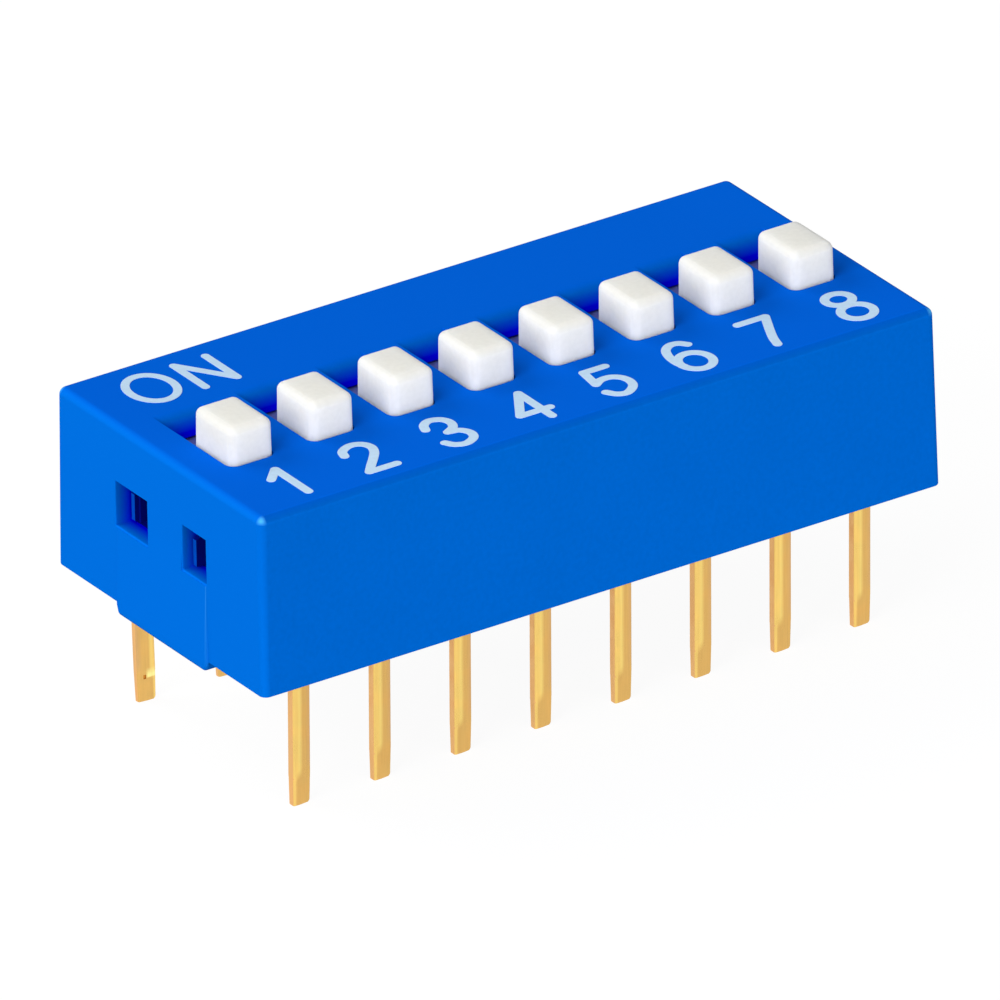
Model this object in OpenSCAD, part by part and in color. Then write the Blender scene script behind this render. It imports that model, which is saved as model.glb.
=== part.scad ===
// Slide DIP switch: a snap-on cover over a base that carries two rows of flat pins,
// and one raised slider with a bridging spring contact for each position.
// Units are millimetres. The origin is the centre of the pin field on the seating plane,
// +X runs from position 1 to the last one, +Y points to the ON side and +Z points up.

/* [Layout] */
// Number of switch positions
positions = 8; // [2:1:10]
// Distance between neighbouring positions
pitch = 2.54; // [2.5:0.01:3]
// Distance between the two rows of pins
row_spacing = 7.62; // [7.4:0.01:9]

/* [Cover] */
// From the outer pin's centre line to the foot of the cover's end
cover_end = 1.84; // [1.7:0.01:3]
// From a row of pins to the foot of the cover's long side
cover_side = 1.14; // [1:0.01:2]
// Height of the cover, without the standoff
cover_h = 5.2; // [5:0.05:7]
// Lean of each outer wall over its height
cover_lean = 0.07; // [0:0.01:0.12]
// Radius of the cover's outer corners and top edges
cover_r = 0.22; // [0.1:0.01:0.4]
// Thickness of the side and end walls
side_wall = 0.6; // [0.5:0.05:0.7]
// Thickness of the top wall
top_wall = 0.5; // [0.4:0.05:0.8]
// Height of the cover's foot over the board
standoff = 0.35; // [0.2:0.05:1]
// Thickness of the ribs between the sliders
guide_rib = 0.24; // [0.16:0.02:0.4]

/* [Slots] */
// From the cover's centre line to the numbered end of each slot
slot_front = 1.92; // [1.8:0.01:2.1]
// Clearance round a knob in its slot
slot_gap = 0.05; // [0.03:0.01:0.1]
// Length of the scooped ramp at the ON end of each slot
ramp_run = 0.48; // [0.3:0.02:0.8]

/* [End tongue] */
// Width of the flexing tongue in each end wall
tongue_w = 4.36; // [4.2:0.02:5.5]
// From the centre line to the middle of the tongue, towards the numbered side
tongue_off = 0.13; // [0:0.01:0.2]
// Height at which the tongue's face runs out into the end wall
tongue_h = 3.25; // [2.8:0.05:3.7]
// How far the tongue stands proud of the end wall at its foot
tongue_proud = 0.07; // [0.02:0.01:0.15]
// Clearance between the tongue's foot and the board
tongue_lift = 0.05; // [0.02:0.01:0.1]
// Length of the slope at each lower corner of the tongue
tongue_slope = 0.1; // [0.05:0.01:0.3]

/* [Latches] */
// From the centre line to the inner edge of the wide window
wide_window_y = 0.55; // [0.4:0.05:0.7]
// Width of the wide window
wide_window_w = 1.53; // [1.2:0.01:1.6]
// From the centre line to the inner edge of the narrow window
narrow_window_y = 1.12; // [0.9:0.02:1.2]
// Width of the narrow window
narrow_window_w = 1.13; // [0.9:0.01:1.15]
// Height of the windows
window_h = 1.3; // [1:0.05:1.5]
// Height of the windows' lower edge over the seating plane
window_z = 2.6; // [2.4:0.05:2.8]
// Width of the latch teeth of the base
tooth_w = 0.16; // [0.12:0.02:0.5]
// Reach of the latch tooth into the narrow window
narrow_tooth_reach = 0.3; // [0.2:0.02:0.4]
// Reach of the latch tooth into the wide window
wide_tooth_reach = 0.14; // [0.1:0.02:0.4]
// Depth of the pocket beside each latch tooth
latch_pocket = 0.7; // [0.4:0.05:0.8]
// Clearance round a latch tooth in its window
latch_gap = 0.07; // [0.04:0.01:0.12]

/* [Sliders] */
// Length of a knob along its travel, at its foot
knob_l = 1.85; // [1.4:0.05:2]
// Width of a knob, at its foot
knob_w = 1.38; // [1:0.02:1.44]
// Height of a knob over the cover
knob_h = 1.06; // [0.6:0.02:1.6]
// Lean of each side of a knob over its height
knob_lean = 0.02; // [0:0.01:0.1]
// Radius of a knob's corners and top edges
knob_r = 0.21; // [0.08:0.01:0.3]
// Travel from OFF to ON
travel = 1.1; // [0.8:0.05:1.3]
// Thickness of the sliding plate
plate_t = 0.6; // [0.5:0.05:0.8]
// How far the plate laps under the cover beyond its slot
plate_lap = 0.2; // [0.1:0.05:0.4]
// Side clearance between a plate and the guide ribs
plate_gap = 0.1; // [0.06:0.01:0.14]
// Clearance between a plate and the cover's ceiling
plate_lift = 0.05; // [0.03:0.01:0.1]

/* [Moving contacts] */
// Distance between the two domes of a moving contact
contact_span = 2.3; // [2.2:0.05:2.6]
// Width of a moving contact
contact_w = 0.9; // [0.8:0.05:1.1]
// Thickness of its strip
contact_t = 0.12; // [0.08:0.01:0.16]
// Radius of its domes, at the middle of the strip
dome_r = 0.24; // [0.2:0.01:0.3]
// Length of the flat that lies in the slider's pocket
contact_flat = 1; // [0.8:0.05:1.1]
// Width of the slit between the two fingers
finger_slit = 0.18; // [0.1:0.02:0.3]
// Clearance between the domes and the fixed pads
contact_gap = 0.04; // [0.02:0.01:0.06]
// Height between the fixed pads and the slider's plate
contact_room = 0.8; // [0.7:0.05:1]
// Depth of the pocket under the slider's plate
pocket_depth = 0.2; // [0.14:0.02:0.3]
// Side clearance of a moving contact in its pocket
pocket_gap = 0.07; // [0.04:0.01:0.12]
// Room for the strip's bend at each end of the pocket
pocket_end = 0.24; // [0.2:0.01:0.3]
// Radius of the staked boss that holds the moving contact
boss_r = 0.2; // [0.15:0.01:0.22]

/* [Terminals] */
// Width of a pin
pin_w = 0.57; // [0.4:0.01:0.6]
// Thickness of a pin
pin_t = 0.28; // [0.2:0.01:0.35]
// Reach of the pins below the seating plane
pin_reach = 3.72; // [2.5:0.02:4.5]
// How far the tips lean in towards the other row
pin_lean = 0.1; // [0:0.01:0.2]
// Bevel along the long edges of a pin
pin_bevel = 0.05; // [0.02:0.01:0.08]
// Length of the coined tip
tip_len = 1; // [0.5:0.05:1.5]
// Width of the tip's end
tip_w = 0.54; // [0.36:0.01:0.56]
// Thickness of the tip's end
tip_t = 0.24; // [0.12:0.01:0.28]
// Size of the bevel at one corner of the tip's end
tip_cut = 0.08; // [0.02:0.01:0.12]
// Width of the shoulder and of the contact pad
pad_w = 0.9; // [0.7:0.05:1.1]
// Thickness of the contact pad
pad_t = 0.26; // [0.2:0.01:0.35]
// Height of the shoulder over the seating plane
shoulder_z = 1.2; // [1:0.05:1.8]

/* [Base] */
// Clearance between the base and the cover's walls
base_fit = 0.03; // [0.02:0.01:0.05]
// Depth of the underside above the cover's foot
base_recess = 0.2; // [0.1:0.05:0.4]
// Width of the seating rail under the base
rail_w = 3; // [2:0.1:4]
// How far the rail runs beyond the outer pins' centre lines
rail_end = 0.6; // [0.2:0.05:1]
// Radius of the ejector marks in the rail
ejector_r = 0.5; // [0.3:0.05:0.8]
// Depth of the ejector marks
ejector_depth = 0.08; // [0.04:0.01:0.12]

/* [Hidden] */
field_l = (positions - 1) * pitch;
cover_l = field_l + 2 * cover_end;
cover_w = row_spacing + 2 * cover_side;
cover_top = standoff + cover_h;
ceiling_z = cover_top - top_wall;
plate_top = ceiling_z - plate_lift;
plate_foot = plate_top - plate_t;
base_top = plate_foot - contact_room;
base_foot = standoff + base_recess;
cavity_l = cover_l - 2 * side_wall;
cavity_w = cover_w - 2 * side_wall;
base_l = cavity_l - 2 * base_fit;
base_w = cavity_w - 2 * base_fit;

slot_w = knob_w + 2 * slot_gap;
slot_l = knob_l + travel + 2 * slot_gap;
slot_back = slot_l - slot_front;
knob_y = -slot_front + slot_gap + knob_l / 2;
plate_w = pitch - guide_rib - 2 * plate_gap;
plate_front = -slot_front - travel - plate_lap;
plate_back = slot_back + plate_lap;
pocket_l = contact_flat + 2 * pocket_end;
pocket_w = contact_w + 2 * pocket_gap;
flat_top = plate_foot + pocket_depth;

front_pad_end = knob_y + travel - contact_span / 2 + dome_r;
back_pad_end = knob_y + contact_span / 2 + travel / 2;

ejector_x = field_l / 4;

EPS = 0.01;
DOME_FROM = 215;
DOME_TO = 335;
DOME_STEP = 15;

function position_x(i) = (i - (positions + 1) / 2) * pitch;

// Terminals are numbered along the front row and back along the rear one.
function terminal_x(i) = position_x(i <= positions ? i : 2 * positions + 1 - i);
function in_front(i) = i <= positions;

// Quarter-round dome, whose top lies exactly at r.
module corner_dome(r, sides) {
    rotate_extrude($fn = sides)
        intersection() {
            circle(r, $fn = sides);
            square(r);
        }
}

// Block on z = 0 with leaning walls, rounded corners and rounded top edges.
module moulded_block(l, w, h, r, lean, sides) {
    hull()
        for (sx = [-1, 1], sy = [-1, 1]) {
            translate([sx * (l / 2 - r), sy * (w / 2 - r), 0])
                cylinder(r = r, h = EPS, $fn = sides);
            translate([sx * (l / 2 - lean - r), sy * (w / 2 - lean - r), h - r])
                corner_dome(r, sides);
        }
}

// Straight profile in the YZ plane, drawn out along X by w and centred on it.
module across(w) {
    rotate([90, 0, 90])
        translate([0, 0, -w / 2])
            linear_extrude(w)
                children();
}

// Straight profile in the XZ plane, drawn out along Y by w and centred on it.
module along(w) {
    rotate([90, 0, 0])
        translate([0, 0, -w / 2])
            linear_extrude(w)
                children();
}

// ---- Cover ----

// Through slot for one knob, with the ramp that gives room to a tool at its ON end.
module slot_cut() {
    across(slot_w)
        polygon([
            [-slot_front, ceiling_z - EPS],
            [slot_back, ceiling_z - EPS],
            [slot_back, ceiling_z],
            [slot_back + ramp_run, cover_top],
            [slot_back + ramp_run, cover_top + EPS],
            [-slot_front, cover_top + EPS]
        ]);
}

// Tongue in one end wall: its face leans out of the wall down to the foot, which is
// sloped at both corners.
module tongue() {
    outer = cover_l / 2 + tongue_proud;
    flush = cover_l / 2 - cover_lean * (tongue_h - standoff) / cover_h;
    translate([0, -tongue_off, 0])
        intersection() {
            along(tongue_w)
                polygon([
                    [-outer, tongue_lift],
                    [-outer, standoff],
                    [-flush, tongue_h],
                    [-cavity_l / 2, tongue_h],
                    [-cavity_l / 2, tongue_lift]
                ]);
            across(2 * outer)
                polygon([
                    [-tongue_w / 2 + tongue_slope, tongue_lift],
                    [tongue_w / 2 - tongue_slope, tongue_lift],
                    [tongue_w / 2, standoff],
                    [tongue_w / 2, tongue_h],
                    [-tongue_w / 2, tongue_h],
                    [-tongue_w / 2, standoff]
                ]);
        }
}

// The two latch windows of one end wall.
module window_cuts() {
    depth = 2 * side_wall;
    translate([-cavity_l / 2 - depth, 0, window_z]) {
        translate([0, wide_window_y, 0])
            cube([2 * depth, wide_window_w, window_h]);
        translate([0, -narrow_window_y - narrow_window_w, 0])
            cube([2 * depth, narrow_window_w, window_h]);
    }
}

// Both ends are alike, turned half a turn about the middle of the switch.
module at_both_ends() {
    for (turn = [0, 180])
        rotate(turn)
            children();
}

// Rib that hangs from the ceiling between two sliders and bears on the base.
module guide_ribs() {
    for (i = [1:positions - 1])
        translate([position_x(i) + pitch / 2 - guide_rib / 2, -cavity_w / 2 - EPS, base_top])
            cube([guide_rib, cavity_w + 2 * EPS, ceiling_z - base_top + EPS]);
}

module cover() {
    color([0, 0.36, 0.84])
        difference() {
            union() {
                difference() {
                    union() {
                        translate([0, 0, standoff])
                            moulded_block(cover_l, cover_w, cover_h, cover_r, cover_lean, 32);
                        at_both_ends() tongue();
                    }
                    translate([-cavity_l / 2, -cavity_w / 2, -EPS])
                        cube([cavity_l, cavity_w, ceiling_z + EPS]);
                }
                guide_ribs();
            }
            for (i = [1:positions])
                translate([position_x(i), 0, 0])
                    slot_cut();
            at_both_ends() window_cuts();
        }
}

// ---- Base ----

// Tooth that catches under a window's upper edge: its upper face slopes and its lower face is flat.
module latch_tooth(reach) {
    tooth_h = base_top - window_z - latch_gap;
    rotate([90, 0, 0])
        linear_extrude(tooth_w)
            polygon([
                [EPS, 0],
                [-reach, 0],
                [-reach, tooth_h / 2],
                [0, tooth_h],
                [EPS, tooth_h]
            ]);
}

// The tooth of each window stands at the window's +Y side.
module latch_teeth() {
    translate([-base_l / 2, 0, window_z + latch_gap]) {
        translate([0, wide_window_y + wide_window_w - latch_gap, 0])
            latch_tooth(wide_tooth_reach);
        translate([0, -narrow_window_y - latch_gap, 0])
            latch_tooth(narrow_tooth_reach);
    }
}

// Pocket beside each tooth, which leaves the tooth room to be moulded.
module latch_pockets() {
    pocket_h = base_top - window_z + EPS;
    wide = wide_window_w - tooth_w - 2 * latch_gap;
    narrow = narrow_window_w - tooth_w - 2 * latch_gap;
    translate([-base_l / 2 - EPS, 0, window_z]) {
        translate([0, wide_window_y, 0])
            cube([latch_pocket + EPS, wide, pocket_h]);
        translate([0, -narrow_window_y - narrow_window_w, 0])
            cube([latch_pocket + EPS, narrow, pocket_h]);
    }
}

// Room that one terminal takes in the base: the pin's slit, the shoulder and the pad's channel.
module terminal_seat(front) {
    side = front ? -1 : 1;
    pad_end = front ? front_pad_end : back_pad_end;
    row_y = side * row_spacing / 2;
    outer_y = row_y + side * pin_t / 2;
    translate([-pin_w / 2, row_y - pin_t / 2, -EPS])
        cube([pin_w, pin_t, shoulder_z + 2 * EPS]);
    translate([-pad_w / 2, row_y - pin_t / 2, shoulder_z])
        cube([pad_w, pin_t, base_top - shoulder_z + EPS]);
    translate([-pad_w / 2, min(outer_y, pad_end), base_top - pad_t])
        cube([pad_w, abs(outer_y - pad_end), pad_t + EPS]);
}

module base() {
    color([0.05, 0.07, 0.16])
        difference() {
            union() {
                translate([-base_l / 2, -base_w / 2, base_foot])
                    cube([base_l, base_w, base_top - base_foot]);
                translate([-field_l / 2 - rail_end, -rail_w / 2, 0])
                    cube([field_l + 2 * rail_end, rail_w, base_foot + EPS]);
                at_both_ends() latch_teeth();
            }
            at_both_ends() latch_pockets();
            for (i = [1:positions], front = [true, false])
                translate([position_x(i), 0, 0])
                    terminal_seat(front);
            for (side = [-1, 1])
                translate([side * ejector_x, 0, -EPS])
                    cylinder(r = ejector_r, h = ejector_depth + EPS, $fn = 48);
        }
}

// ---- Sliders ----

module actuator(i) {
    color([0.95, 0.94, 0.9])
        translate([position_x(i), 0, 0])
            difference() {
                union() {
                    translate([-plate_w / 2, plate_front, plate_foot])
                        cube([plate_w, plate_back - plate_front, plate_t]);
                    translate([0, knob_y, plate_top - EPS])
                        moulded_block(
                            knob_w, knob_l, cover_top + knob_h - plate_top + EPS,
                            knob_r, knob_lean, 24);
                }
                difference() {
                    translate([-pocket_w / 2, knob_y - pocket_l / 2, plate_foot - EPS])
                        cube([pocket_w, pocket_l, pocket_depth + EPS]);
                    translate([0, knob_y, plate_foot])
                        cylinder(r = boss_r, h = pocket_depth + EPS, $fn = 32);
                }
            }
}

// ---- Moving contacts ----

// Middle line of one half of the bent strip, from the flat's middle out to the upturned end.
function half_path() = concat(
    [[0, 0], [contact_flat / 2, 0]],
    [for (a = [DOME_FROM:DOME_STEP:DOME_TO])
        [contact_span / 2 + dome_r * cos(a),
         dome_r * (1 + sin(a)) - (flat_top - contact_t) + base_top + contact_gap]]
);

function mirrored(path) = [for (k = [len(path) - 1:-1:1]) [-path[k][0], path[k][1]]];
function unit(v) = v / norm(v);
function heading(path, k) = unit(path[min(k + 1, len(path) - 1)] - path[max(k - 1, 0)]);
function beside(path, k, d) = path[k] + d * [-heading(path, k)[1], heading(path, k)[0]];

// Closed outline of a strip of thickness t that follows a path.
function strip(path, t) = concat(
    [for (k = [0:len(path) - 1]) beside(path, k, t / 2)],
    [for (k = [len(path) - 1:-1:0]) beside(path, k, -t / 2)]
);

module moving_contact(i) {
    path = concat(mirrored(half_path()), half_path());
    reach = contact_span / 2 + 2 * dome_r;
    color([0.86, 0.68, 0.36])
        translate([position_x(i), knob_y, 0])
            difference() {
                translate([0, 0, flat_top - contact_t / 2])
                    across(contact_w)
                        polygon(strip(path, contact_t));
                for (side = [-1, 1])
                    translate([-finger_slit / 2,
                               side * (contact_flat + reach) / 2 - reach / 2, base_top])
                        cube([finger_slit, reach, flat_top - base_top + EPS]);
                translate([0, 0, base_top])
                    cylinder(r = boss_r, h = flat_top - base_top + EPS, $fn = 32);
            }
}

// ---- Terminals ----

// Outline of a pin across its length, with its long edges bevelled.
module pin_section() {
    w = pin_w / 2;
    t = pin_t / 2;
    polygon([
        [-w + pin_bevel, -t], [w - pin_bevel, -t], [w, -t + pin_bevel], [w, t - pin_bevel],
        [w - pin_bevel, t], [-w + pin_bevel, t], [-w, t - pin_bevel], [-w, -t + pin_bevel]
    ]);
}

// Outline of a pin below the seating plane: straight, then narrowing to the tip's end,
// which has one bevelled corner.
module tapered_outline(w, end_w, cut) {
    polygon([
        [-w / 2, EPS],
        [w / 2, EPS],
        [w / 2, -pin_reach + tip_len],
        [end_w / 2, -pin_reach + cut],
        [end_w / 2 - cut, -pin_reach],
        [-end_w / 2, -pin_reach],
        [-w / 2, -pin_reach + tip_len]
    ]);
}

// Pin of one row: upright in the base, and leaning towards the other row below it.
module pin(side) {
    lean = side * pin_lean / pin_reach;
    linear_extrude(shoulder_z + EPS)
        pin_section();
    multmatrix([[1, 0, 0, 0], [0, 1, lean, 0], [0, 0, 1, 0], [0, 0, 0, 1]])
        intersection() {
            translate([0, 0, -pin_reach])
                linear_extrude(pin_reach)
                    pin_section();
            along(2 * pin_t) tapered_outline(pin_w, tip_w, tip_cut);
            across(2 * pin_w) tapered_outline(pin_t, tip_t, pin_bevel);
        }
}

module terminal(i) {
    side = in_front(i) ? -1 : 1;
    pad_end = in_front(i) ? front_pad_end : back_pad_end;
    row_y = side * row_spacing / 2;
    outer_y = row_y + side * pin_t / 2;
    color([0.9, 0.7, 0.38])
        translate([terminal_x(i), 0, 0]) {
            translate([0, row_y, 0]) {
                pin(side);
                translate([-pad_w / 2, -pin_t / 2, shoulder_z])
                    cube([pad_w, pin_t, base_top - shoulder_z]);
            }
            translate([-pad_w / 2, min(outer_y, pad_end), base_top - pad_t])
                cube([pad_w, abs(outer_y - pad_end), pad_t]);
        }
}

cover();
base();
for (i = [1:positions]) {
    actuator(i);
    moving_contact(i);
}
for (i = [1:2 * positions]) {
    terminal(i);
}
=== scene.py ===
"""Eight-position slide switch for circuit boards, with its visible pieces round a fixed frame."""

import math

import bmesh
import bpy
from bpy.props import FloatProperty, FloatVectorProperty, PointerProperty
from mathutils import Matrix, Vector


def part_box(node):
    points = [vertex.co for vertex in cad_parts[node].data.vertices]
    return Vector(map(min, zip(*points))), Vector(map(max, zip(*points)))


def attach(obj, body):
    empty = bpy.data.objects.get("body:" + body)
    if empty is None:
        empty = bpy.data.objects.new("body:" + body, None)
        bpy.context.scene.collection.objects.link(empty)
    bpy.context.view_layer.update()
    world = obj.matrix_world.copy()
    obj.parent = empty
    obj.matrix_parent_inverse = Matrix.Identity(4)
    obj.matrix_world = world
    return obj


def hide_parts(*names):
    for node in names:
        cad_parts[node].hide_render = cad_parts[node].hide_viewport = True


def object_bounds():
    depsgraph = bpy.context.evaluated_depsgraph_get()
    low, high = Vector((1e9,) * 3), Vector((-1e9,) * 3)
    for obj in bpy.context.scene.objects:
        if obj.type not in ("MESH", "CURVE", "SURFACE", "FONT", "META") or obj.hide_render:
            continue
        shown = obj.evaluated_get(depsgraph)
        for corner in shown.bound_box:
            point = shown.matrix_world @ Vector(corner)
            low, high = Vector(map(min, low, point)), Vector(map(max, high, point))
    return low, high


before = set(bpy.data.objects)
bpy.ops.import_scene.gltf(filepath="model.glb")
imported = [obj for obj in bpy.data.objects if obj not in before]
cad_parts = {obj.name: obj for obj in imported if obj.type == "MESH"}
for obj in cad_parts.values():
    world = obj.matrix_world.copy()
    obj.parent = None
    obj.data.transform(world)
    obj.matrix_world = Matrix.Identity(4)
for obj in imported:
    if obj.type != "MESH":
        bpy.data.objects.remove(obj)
CAD_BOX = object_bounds()

bl_info = {
    "name": "Slide Switch Block",
    "version": (1, 0, 0),
    "blender": (4, 5, 0),
    "location": "3D View > Sidebar > Slide Switch",
    "description": "Builds a slide switch block with its cover, sliders, pins and printed legend",
    "category": "Add Mesh",
}

MM = 0.001
SWITCHES = sorted(
    (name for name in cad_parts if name.startswith("actuator_")),
    key=lambda name: int(name.rsplit("_", 1)[1]),
)
COUNT = len(SWITCHES)
POSITIONS = range(1, COUNT + 1)
HOUSING = "housing"

# The legend's pen strokes, in millimetres from the middle of each character. A point that
# is given twice is a sharp corner.
STROKES = {
    "O": [{"ring": (0.0, 0.0, 0.64, 0.81)}],
    "N": [
        {"line": [(-0.5, -0.78), (-0.5, 0.76)]},
        {"line": [(-0.5, 0.76), (0.5, -0.78)]},
        {"line": [(0.5, -0.78), (0.5, 0.76)]},
    ],
    "1": [
        {"line": [(0.18, -0.8), (0.18, 0.78)]},
        {"line": [(0.18, 0.78), (-0.24, 0.33)]},
    ],
    "2": [
        {"curve": [(-0.47, 0.35), (-0.36, 0.62), (-0.02, 0.79), (0.28, 0.69), (0.4, 0.42),
                   (0.31, 0.12), (0.08, -0.18), (-0.2, -0.5), (-0.44, -0.79)]},
        {"line": [(-0.44, -0.79), (0.42, -0.79)]},
    ],
    "3": [
        {"curve": [(-0.44, 0.39), (-0.33, 0.64), (-0.08, 0.79), (0.21, 0.69), (0.34, 0.43),
                   (0.25, 0.13), (-0.03, -0.05)]},
        {"curve": [(-0.03, -0.05), (0.28, -0.13), (0.44, -0.4), (0.35, -0.7), (0.02, -0.87),
                   (-0.28, -0.77), (-0.44, -0.53)]},
    ],
    "4": [
        {"line": [(0.19, -0.84), (0.19, 0.77)]},
        {"line": [(0.19, 0.77), (-0.51, -0.38)]},
        {"line": [(-0.51, -0.38), (0.43, -0.38)]},
    ],
    "5": [
        {"line": [(0.39, 0.77), (-0.29, 0.77)]},
        {"line": [(-0.29, 0.77), (-0.4, 0.0)]},
        {"curve": [(-0.4, 0.0), (-0.16, 0.15), (0.14, 0.15), (0.37, -0.04), (0.44, -0.35),
                   (0.33, -0.65), (0.01, -0.87), (-0.27, -0.78), (-0.44, -0.53)]},
    ],
    "6": [
        {"curve": [(0.34, 0.57), (0.17, 0.76), (-0.08, 0.79), (-0.33, 0.6), (-0.47, 0.25),
                   (-0.51, -0.15), (-0.46, -0.5)]},
        {"ring": (-0.03, -0.36, 0.455, 0.5)},
    ],
    "7": [
        {"line": [(-0.5, 0.74), (0.38, 0.74)]},
        {"curve": [(0.38, 0.74), (0.19, 0.34), (0.02, -0.02), (-0.16, -0.44), (-0.27, -0.81)]},
    ],
    "8": [
        {"ring": (-0.02, 0.45, 0.375, 0.35)},
        {"ring": (-0.01, -0.43, 0.45, 0.44)},
    ],
}


# ---- Sizes and colours that a user would change ----


def length(name, description, millimetres):
    """A length property, whose default is given in millimetres."""
    return FloatProperty(
        name=name, description=description, default=millimetres * MM,
        min=0.0, unit="LENGTH", precision=5,
    )


def colour(name, description, red, green, blue):
    """A colour property, whose default is given as eight-bit screen values."""
    return FloatVectorProperty(
        name=name, description=description, subtype="COLOR", size=3, min=0.0, max=1.0,
        default=[linear(value) for value in (red, green, blue)],
    )


def linear(value):
    """Turns an eight-bit screen value into linear light."""
    share = value / 255
    return share / 12.92 if share <= 0.04045 else ((share + 0.055) / 1.055) ** 2.4


class CoverSizes(bpy.types.PropertyGroup):
    length: length("Length", "Length of the cover at its foot", 21.46)
    width: length("Width", "Width of the cover at its foot", 9.9)
    foot: length("Standoff", "Height of the cover's foot over the board", 0.35)
    top: length("Top", "Height of the cover's top over the board", 5.55)
    lean: length("Lean", "Lean of each outer wall over its height", 0.07)
    wall: length("Wall", "Thickness of the side and end walls", 0.6)
    roof: length("Roof", "Thickness of the top wall", 0.5)
    edge: length("Edge radius", "Radius of the outer corners and top edges", 0.22)
    rim: length("Rim radius", "Radius of the foot's and the tongues' edges", 0.03)
    mouth: length("Mouth radius", "Radius of the windows' outer rims", 0.04)
    rib: length("Rib", "Thickness of the ribs between the sliders", 0.24)
    slot_width: length("Slot width", "Width of each slot", 1.48)
    slot_front: length("Slot front", "From the centre line to the numbered end of a slot", 1.92)
    slot_back: length("Slot back", "From the centre line to the ramp of a slot", 1.13)
    ramp: length("Ramp", "Length of the ramp at the ON end of a slot", 0.48)
    ramp_roll: length("Ramp roll", "Length over which the top rolls into the ramp", 0.3)
    slot_corner: length("Slot corner", "Radius of the corners at the numbered end of a slot", 0.3)
    tongue_width: length("Tongue width", "Width of the flexing tongue in each end wall", 4.36)
    tongue_off: length("Tongue offset", "From the centre line to the middle of the tongue", 0.13)
    tongue_top: length("Tongue height", "Height at which its face runs out into the wall", 3.25)
    tongue_proud: length("Tongue relief", "How far the tongue's foot stands proud", 0.07)
    tongue_lift: length("Tongue lift", "Clearance between the tongue and the board", 0.05)
    tongue_edge: length("Tongue edge", "Radius of the tongue's edges", 0.1)
    tongue_slope: length("Tongue slope", "Length of the slope at each lower corner", 0.1)
    window_low: length("Window foot", "Height of the windows' lower edge", 2.6)
    window_high: length("Window head", "Height of the windows' upper edge", 3.9)
    wide_inner: length("Wide window", "From the centre line to the wide window", 0.55)
    wide_outer: length("Wide window end", "From the centre line to its far edge", 2.08)
    narrow_inner: length("Narrow window", "From the centre line to the narrow window", 1.12)
    narrow_outer: length("Narrow window end", "From the centre line to its far edge", 2.25)


class BaseSizes(bpy.types.PropertyGroup):
    length: length("Length", "Length of the base", 20.2)
    width: length("Width", "Width of the base", 8.64)
    foot: length("Foot", "Height of the underside over the board", 0.55)
    top: length("Top", "Height of the deck over the board", 3.6)
    edge: length("Edge radius", "Radius of the base's edges", 0.06)
    rail_width: length("Rail width", "Width of the seating rail", 3.0)
    rail_end: length("Rail end", "From the outer pins to the end of the rail", 0.6)
    tooth: length("Tooth", "Width of the latch teeth", 0.16)
    tooth_gap: length("Tooth clearance", "Clearance round a latch tooth", 0.07)
    narrow_reach: length("Narrow reach", "Reach of the tooth in the narrow window", 0.3)
    wide_reach: length("Wide reach", "Reach of the tooth in the wide window", 0.14)
    pocket: length("Pocket", "Depth of the pocket beside each tooth", 0.7)
    mark: length("Mark radius", "Radius of the ejector marks", 0.5)
    mark_depth: length("Mark depth", "Depth of the ejector marks", 0.08)


class SliderSizes(bpy.types.PropertyGroup):
    knob_length: length("Knob length", "Length of a knob along its travel", 1.85)
    knob_width: length("Knob width", "Width of a knob at its foot", 1.38)
    knob_lean: length("Knob lean", "Lean of each side of a knob", 0.02)
    knob_radius: length("Knob radius", "Radius of a knob's corners and top edges", 0.22)
    plate: length("Plate", "Thickness of the sliding plate", 0.6)
    boss: length("Boss radius", "Radius of the staked boss under the plate", 0.2)
    pocket_length: length("Pocket length", "Length of the pocket under the plate", 1.48)
    pocket_width: length("Pocket width", "Width of the pocket under the plate", 1.04)
    pocket_depth: length("Pocket depth", "Depth of the pocket under the plate", 0.2)


class PinSizes(bpy.types.PropertyGroup):
    width: length("Width", "Width of a pin", 0.57)
    thickness: length("Thickness", "Thickness of a pin", 0.28)
    lean: length("Lean", "How far the tips lean in towards the other row", 0.1)
    rolled: length("Rolled face", "Width of the bright rolled face of a pin", 0.24)
    rolled_inside: length("Rolled inside", "Width of the bright strip on the inner face", 0.15)
    thin_edge: length("Thin edge", "Thickness of the edge that the die rounds over", 0.2)
    edge: length("Edge radius", "Radius of a pin's long edges", 0.05)
    tip: length("Coined tip", "Length of the coined tip on the outer face", 0.85)
    tip_inside: length("Tip inside", "Length of the coined tip on the inner face", 0.68)
    tip_width: length("Tip width", "Width of the tip's end", 0.54)
    tip_thickness: length("Tip thickness", "Thickness of the tip's end", 0.24)
    tip_cut: length("Tip cut", "Size of the bevel at one corner of the tip", 0.08)
    shoulder: length("Shoulder", "Height of the shoulder over the board", 1.2)
    pad_width: length("Pad width", "Width of the shoulder and the contact pad", 0.9)
    pad: length("Pad", "Thickness of the contact pad", 0.26)


class LegendSizes(bpy.types.PropertyGroup):
    stroke: length("Stroke", "Width of the strokes of the numbers", 0.255)
    word_stroke: length("Word stroke", "Width of the strokes of the word ON", 0.235)
    ink: length("Ink", "Thickness of the ink", 0.012)
    number_row: length("Number row", "From the centre line to the row of numbers", 3.42)
    word_row: length("Word row", "From the centre line to the word ON", 3.28)
    word_letter_o: length("Letter O", "From the middle of the switch to the O", 8.71)
    word_letter_n: length("Letter N", "From the middle of the switch to the N", 7.017)


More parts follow.
